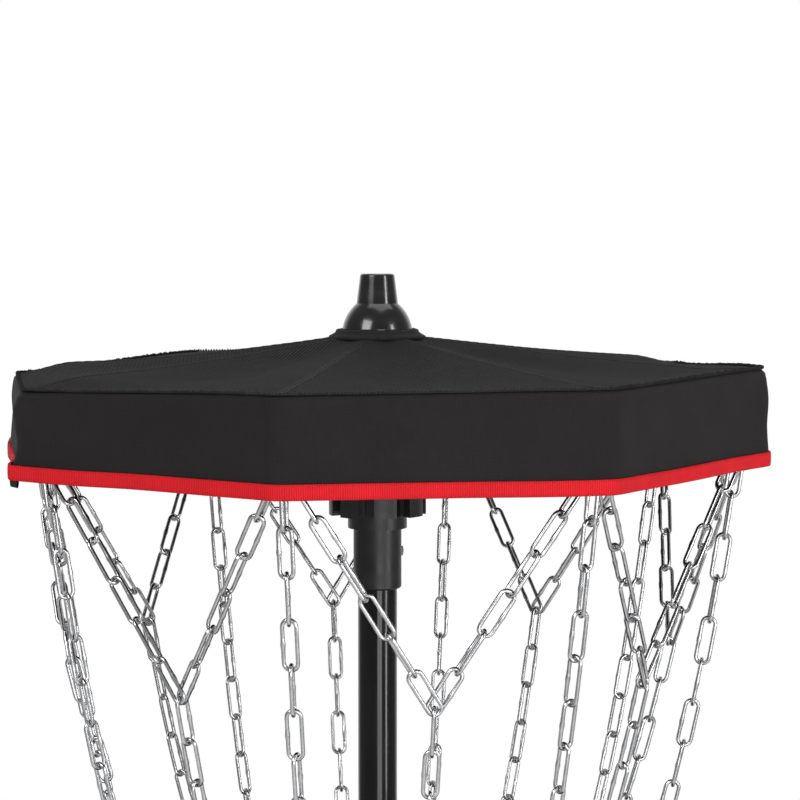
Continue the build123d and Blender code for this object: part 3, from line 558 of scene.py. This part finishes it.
# ---------------------------------------------------------------- basket
def floor_point(s, t):
    """The basket's floor: it rises with the ribs, and dips between them under the weight of the discs."""
    p = octagon(s, FLOOR_START_R + t * FLOOR_RUN, FLOOR_SOFT)
    dip = (FLOOR_DIP * midness(s) + noise.noise(p * 16) * 1.2 * MM) * sin(pi * t)
    return p + UP * (FLOOR_Z + FLOOR_SLOPE * FLOOR_RUN * t - dip)


def wall_point(s, t):
    """The basket's wall, drawn slightly in between the ribs."""
    p = octagon(s, FLOOR_R + t * WALL_RUN, WALL_SOFT)
    hollow = (WALL_HOLLOW * midness(s) + noise.noise((p + UP * t) * 12) * 2.0 * MM) * sin(pi * t)
    return p + facing(s) * (CLOTH_HALF - hollow) + UP * (FLOOR_EDGE_Z + t * WALL_RISE)


def basket_edge(s):
    return wall_point(s, 1), facing(s)


def floor_edge(s):
    return wall_point(s, 0), facing(s)


def rib_loop(k, t):
    """A loop of webbing sewn to the wall that holds it on a basket rib. t is its place up the wall."""
    up = (outward(k * 2 * HALF) * WALL_RUN + UP * WALL_RISE).normalized()
    side = sideways(k * 2 * HALF)
    out = side.cross(up)
    if out.z > 0:
        out = -out
    seam = wall_point(k, t)
    steps = 36
    vertices, uvs = [], []
    for i in range(steps + 1):
        a = radians(LOOP_FROM + LOOP_TURN * i / steps)
        wrap = Vector((cos(a), sin(a))) * (RIB_R + LOOP_GAP)
        tail = ease(abs(i - steps / 2) / (steps / 2) * 3 - 2)
        for row, thick in ((0, 0.0), (1, 0.0), (1, WEB_T), (0, WEB_T)):
            grow = 1 + thick / RIB_R
            x = wrap.x * grow * (1 + 0.9 * tail)
            y = RIB_OFF - CLOTH_HALF - wrap.y * grow * (1 - tail) - tail * (RIB_OFF - LOOP_FOOT)
            vertices.append(seam + side * x + out * y + up * LOOP_W * (row - 0.5))
            uvs.append((i * MM, row * LOOP_W))
    name = f"basket_loop_{k + 1}_{round(t * 100)}"
    return new_object(name, vertices, grid_faces(steps + 1, 4, wrap=True), TAPE, uvs)


def build_basket():
    lean = WALL_RUN / WALL_SLANT
    binding_section = [(x + (y - BINDING_H) * lean, y - BINDING_H) for x, y in tape_section()]
    for k in range(RIBS):
        n = k + 1
        base = surface(f"basket_floor_{n}", floor_point, k, FLOOR_RUN, 24, 28, MESH, gore=True)
        wall = surface(f"basket_wall_{n}", wall_point, k, WALL_SLANT, 48, 28, CLOTH)
        rim = strip(f"basket_binding_{n}", basket_edge, k, binding_section, 60, RED)
        welt = strip(f"basket_welt_{n}", floor_edge, k, round_section(WELT_R), 48, TAPE)
        for piece in (base, wall, welt):
            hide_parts("basket_fabric")
        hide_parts("basket_binding")
        for place in LOOP_PLACES:
            loop = rib_loop(k, place)
            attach(loop, f"basket_rib_{n}")
        for piece in (base, wall, rim, welt):
            fold_with_rib(piece, k, "basket_rib")


# ---------------------------------------------------------------- chains
def wire_loop(pitch, width, wire, weld=True):
    """Vertices and faces of one long link at the origin: long way along X, flat in XY."""
    arc_steps, straight_steps, sides = 10, 8, 10
    bend = width / 2 - wire
    reach = pitch / 2 + wire - bend
    path = []
    for end in (1, -1):
        for i in range(arc_steps):
            a = pi / 2 - pi * i / arc_steps
            path.append((Vector((end * (reach + bend * cos(a)), end * bend * sin(a), 0)), None))
        for i in range(straight_steps):
            x = end * reach * (1 - 2 * i / straight_steps)
            path.append((Vector((x, -end * bend, 0)), x if end > 0 else None))
    vertices = []
    count = len(path)
    for i, (p, weld_x) in enumerate(path):
        ahead = (path[(i + 1) % count][0] - path[i - 1][0]).normalized()
        out = ahead.cross(UP)
        bead = 0.0
        if weld and weld_x is not None:
            bead = WELD_BEAD * max(0.0, 1 - abs(weld_x) / (WELD_REACH * wire))
        for j in range(sides):
            a = 2 * pi * j / sides
            vertices.append(p + (out * cos(a) + UP * sin(a)) * wire * (1 + bead * (1 + 0.4 * sin(5 * a))))
    faces = grid_faces(count + 1, sides, wrap=True)
    return vertices, [tuple(v % (count * sides) for v in face) for face in faces]


LINK = wire_loop(LINK_PITCH, LINK_WIDTH, WIRE_R)
HANGER_WIDTH = 2 * (HANGER_R + HANGER_WIRE_R)
HANGER = wire_loop(HANGER_DROP - 2 * HANGER_WIRE_R, HANGER_WIDTH, HANGER_WIRE_R, weld=False)


def pose_matrix(centre, along, width):
    """Puts a link with its length along one direction and its flat side along the other."""
    x = along.normalized()
    z = x.cross(width).normalized()
    turn = Matrix((x, z.cross(x), z)).transposed().to_4x4()
    return Matrix.Translation(centre) @ turn


def hanging_curve(outer, inner, length):
    """A catenary between two (radius, height) points, as a function of the length from the outer end."""
    span, drop = outer[0] - inner[0], outer[1] - inner[1]
    want = sqrt(length**2 - drop**2) / span
    low, high = 1e-3, 20.0
    for _ in range(80):
        x = (low + high) / 2
        low, high = (x, high) if sinh(x) / x < want else (low, x)
    c = span / (2 * x)
    x0 = inner[0] + span / 2 - c * asinh(drop / (2 * c * sinh(x)))
    base = inner[1] - c * cosh((inner[0] - x0) / c)

    def at(from_outer):
        u = asinh((length - from_outer) / c + sinh((inner[0] - x0) / c))
        return x0 + c * u, c * cosh(u) + base

    return at


def hanging_links(outer, inner, count, first_gap, last_gap, azimuth):
    """Link matrices along a hanging chain in the radial plane at azimuth."""
    length = first_gap + (count - 1) * LINK_STEP + last_gap
    at = hanging_curve(outer, inner, length)
    joints = [0.0, *(first_gap + (i + 0.5) * LINK_STEP for i in range(count - 1)), length]
    points = [outward(azimuth) * r + UP * z for r, z in map(at, joints)]
    made = []
    for i in range(count):
        along = (points[i + 1] - points[i]).normalized()
        centre = points[i] + along * (first_gap if i == 0 else LINK_STEP / 2)
        if i == count - 1:
            centre = points[-1] - along * last_gap
        side = sideways(azimuth)
        made.append((centre, along, side if i % 2 else along.cross(side)))
    return made


def straight_links(start, end, count, first_gap, last_gap, azimuth, twist):
    """Link matrices on a line. Even links stand in a radial plane, which turns by twist on the way."""
    along = (end - start).normalized()
    pitch = ((end - start).length - first_gap - last_gap) / (count - 1)
    made = []
    for i in range(count):
        radial = outward(azimuth + twist * i / (count - 1))
        centre = start + along * (first_gap + i * pitch)
        made.append((centre, along, along.cross(radial) if i % 2 else radial))
    return made


def chain_object(name, links, hangers=()):
    """One mesh of links, each rolled a little at random about its own length, and of any hangers."""
    vertices, faces = [], []
    placed = [(LINK, *link, radians(random.uniform(-LINK_ROLL, LINK_ROLL))) for link in links]
    placed += [(HANGER, *hanger, 0.0) for hanger in hangers]
    for (loop_vertices, loop_faces), centre, along, width, roll in placed:
        matrix = pose_matrix(centre, along, width) @ Matrix.Rotation(roll, 4, "X")
        start = len(vertices)
        vertices += [matrix @ v for v in loop_vertices]
        faces += [tuple(start + v for v in face) for face in loop_faces]
    chain = new_object(name, vertices, faces, ZINC)
    return chain


def gather(piece):
    """Gives a chain its own copy of its mesh."""
    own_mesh(piece)


def leg_start(azimuth, side):
    """The point on a hanger's lower bend that carries a net leg."""
    up = HANGER_R * (1 - cos(LEG_FAN))
    along = side * HANGER_R * sin(LEG_FAN)
    return outward(azimuth) * HANG_R + sideways(azimuth) * along + UP * (CHAIN_TOP_Z + up)


def build_chains():
    leg_length = HANG_GAP + (LEG_LINKS - 1) * LINK_STEP + NET_GAP
    flat = (outward(HALF) * NET_R - leg_start(0, 1)).xy.length
    net_z = leg_start(0, 1).z - sqrt(leg_length**2 - flat**2)
    ring, tail_gap = (RING_R, RING_Z), LINK_PITCH / 2 + WIRE_R
    for k in range(RIBS):
        n, azimuth, middle = k + 1, k * 2 * HALF, (2 * k + 1) * HALF
        hanger = (outward(azimuth) * HANG_R + UP * (HANG_Z - HANGER_DROP / 2), UP, sideways(azimuth))
        links = hanging_links((HANG_R, CHAIN_TOP_Z), ring, STRAND_LINKS, HANG_GAP, RING_GAP, azimuth)
        strand = chain_object(f"long_chain_{n}", links, [hanger])
        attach(strand, f"chain_strand_{n}")
        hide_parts(f"chain_strand_{n}")
        gather(strand)
        tail_links = hanging_links((NET_R, net_z), ring, TAIL_LINKS, tail_gap, RING_GAP, middle)
        tail = chain_object(f"net_tail_{n}", tail_links)
        pieces = [(tail, middle)]
        for side in (1, -1):
            end_azimuth = azimuth + side * HALF
            end = outward(end_azimuth) * (NET_R + side * PAIR_HALF) + UP * net_z
            start = leg_start(azimuth, side)
            legs = straight_links(start, end, LEG_LINKS, HANG_GAP, NET_GAP, azimuth, side * HALF)
            leg = chain_object(f"net_leg_{n}{'b' if side > 0 else 'a'}", legs)
            pieces.append((leg, azimuth + side * HALF / 2))
        for piece, centre in pieces:
            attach(piece, "frame")
            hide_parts("chain_net")
            gather(piece)


# ---------------------------------------------------------------- CAD nodes
FINISHES = [
    ("pole", GLOSS_BLACK), ("finial", CAP_PLASTIC), ("top_hub_pins", STEEL), ("basket_hub_pins", STEEL),
    ("leg_runner_pins", STEEL), ("chain_ring", ZINC), ("leg_foot", RUBBER), ("canopy_rib", SATIN_BLACK),
    ("canopy_strut", SATIN_BLACK), ("basket_rib", SATIN_BLACK), ("leg_brace", SATIN_BLACK),
    ("leg_1", SATIN_BLACK), ("leg_2", SATIN_BLACK), ("leg_3", SATIN_BLACK), ("", HUB_PLASTIC),
]


def finish_frame():
    """Gives every CAD node its material."""
    for name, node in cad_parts.items():
        material = next(m for start, m in FINISHES if name.startswith(start))
        node.data.materials.clear()
        node.data.materials.append(material)


# ---------------------------------------------------------------- studio
VIEW_TURN, CAMERA_TILT = radians(12.5), radians(4.25)
CAMERA_BACK, CAMERA_RIGHT, CAMERA_RISE = 1.8, 17.2 * MM, 110 * MM
LENS, SENSOR = 106.9, 36
FLOOR_DISC_R = 4.1
COVE_GREY, COVE_FROM, COVE_TO = 0.22, 0.45, 0.88


def studio(x, y, z):
    """A place in the studio, whose -Y is towards the camera."""
    return Matrix.Rotation(VIEW_TURN, 3, "Z") @ Vector((x, y, z))


def softbox(name, place, target, size, power):
    light = bpy.data.lights.new(name, "AREA")
    light.shape = "RECTANGLE"
    light.size, light.size_y = size
    light.energy = power
    made = bpy.data.objects.new(name, light)
    bpy.context.scene.collection.objects.link(made)
    made.location = place
    made.rotation_euler = (target - place).to_track_quat("-Z", "Y").to_euler()


def paint_world(tree):
    """A white cove behind the object that fades to grey elsewhere, so that metal and enamel read dark."""
    direction = tree.nodes.new("ShaderNodeTexCoord").outputs["Generated"]
    facing_cove = tree.nodes.new("ShaderNodeVectorMath")
    facing_cove.operation = "DOT_PRODUCT"
    facing_cove.inputs[1].default_value = studio(0, 1, 0)
    fade = tree.nodes.new("ShaderNodeValToRGB")
    fade.color_ramp.interpolation = "EASE"
    dim, white = fade.color_ramp.elements
    dim.position, dim.color = COVE_FROM, (COVE_GREY,) * 3 + (1,)
    white.position, white.color = COVE_TO, (1, 1, 1, 1)
    tree.links.new(direction, facing_cove.inputs[0])
    tree.links.new(facing_cove.outputs["Value"], fade.inputs[0])
    tree.links.new(fade.outputs[0], tree.nodes["Background"].inputs["Color"])


def build_studio():
    camera = bpy.data.objects.new("camera", bpy.data.cameras.new("camera"))
    bpy.context.scene.collection.objects.link(camera)
    camera.data.sensor_width = SENSOR
    camera.data.lens = LENS
    camera.location = studio(CAMERA_RIGHT, -CAMERA_BACK, RIM_Z + CAMERA_RISE)
    camera.rotation_euler = (pi / 2 - CAMERA_TILT, 0, VIEW_TURN)
    bpy.context.scene.camera = camera

    target = studio(0, 0, RIM_Z - 0.1)
    softbox("key", studio(-1.5, -1.9, RIM_Z + 1.3), target, (1.3, 1.3), 38)
    softbox("strip", studio(1.5, -1.1, RIM_Z + 0.1), target, (0.3, 1.8), 16)
    softbox("overhead", studio(0.2, 0.3, RIM_Z + 1.9), target, (1.6, 1.6), 12)
    softbox("low_fill", studio(0.6, -2.6, 0.9), studio(0, 0, 0.6), (1.2, 1.2), 18)

    sides = 128
    rim = [outward(2 * pi * i / sides) * FLOOR_DISC_R for i in range(sides)]
    pale = Shader("pale_floor", Base_Color=(0.8, 0.8, 0.8, 1), Roughness=0.9).material
    new_object("floor", rim, [tuple(range(sides))], pale)

    scene = bpy.context.scene
    scene.view_settings.view_transform = "Standard"
    scene.world = bpy.data.worlds.new("studio")
    scene.world.use_nodes = True
    paint_world(scene.world.node_tree)


build_canopy()
build_patch()
build_tab()
build_basket()
build_chains()
finish_frame()
build_studio()
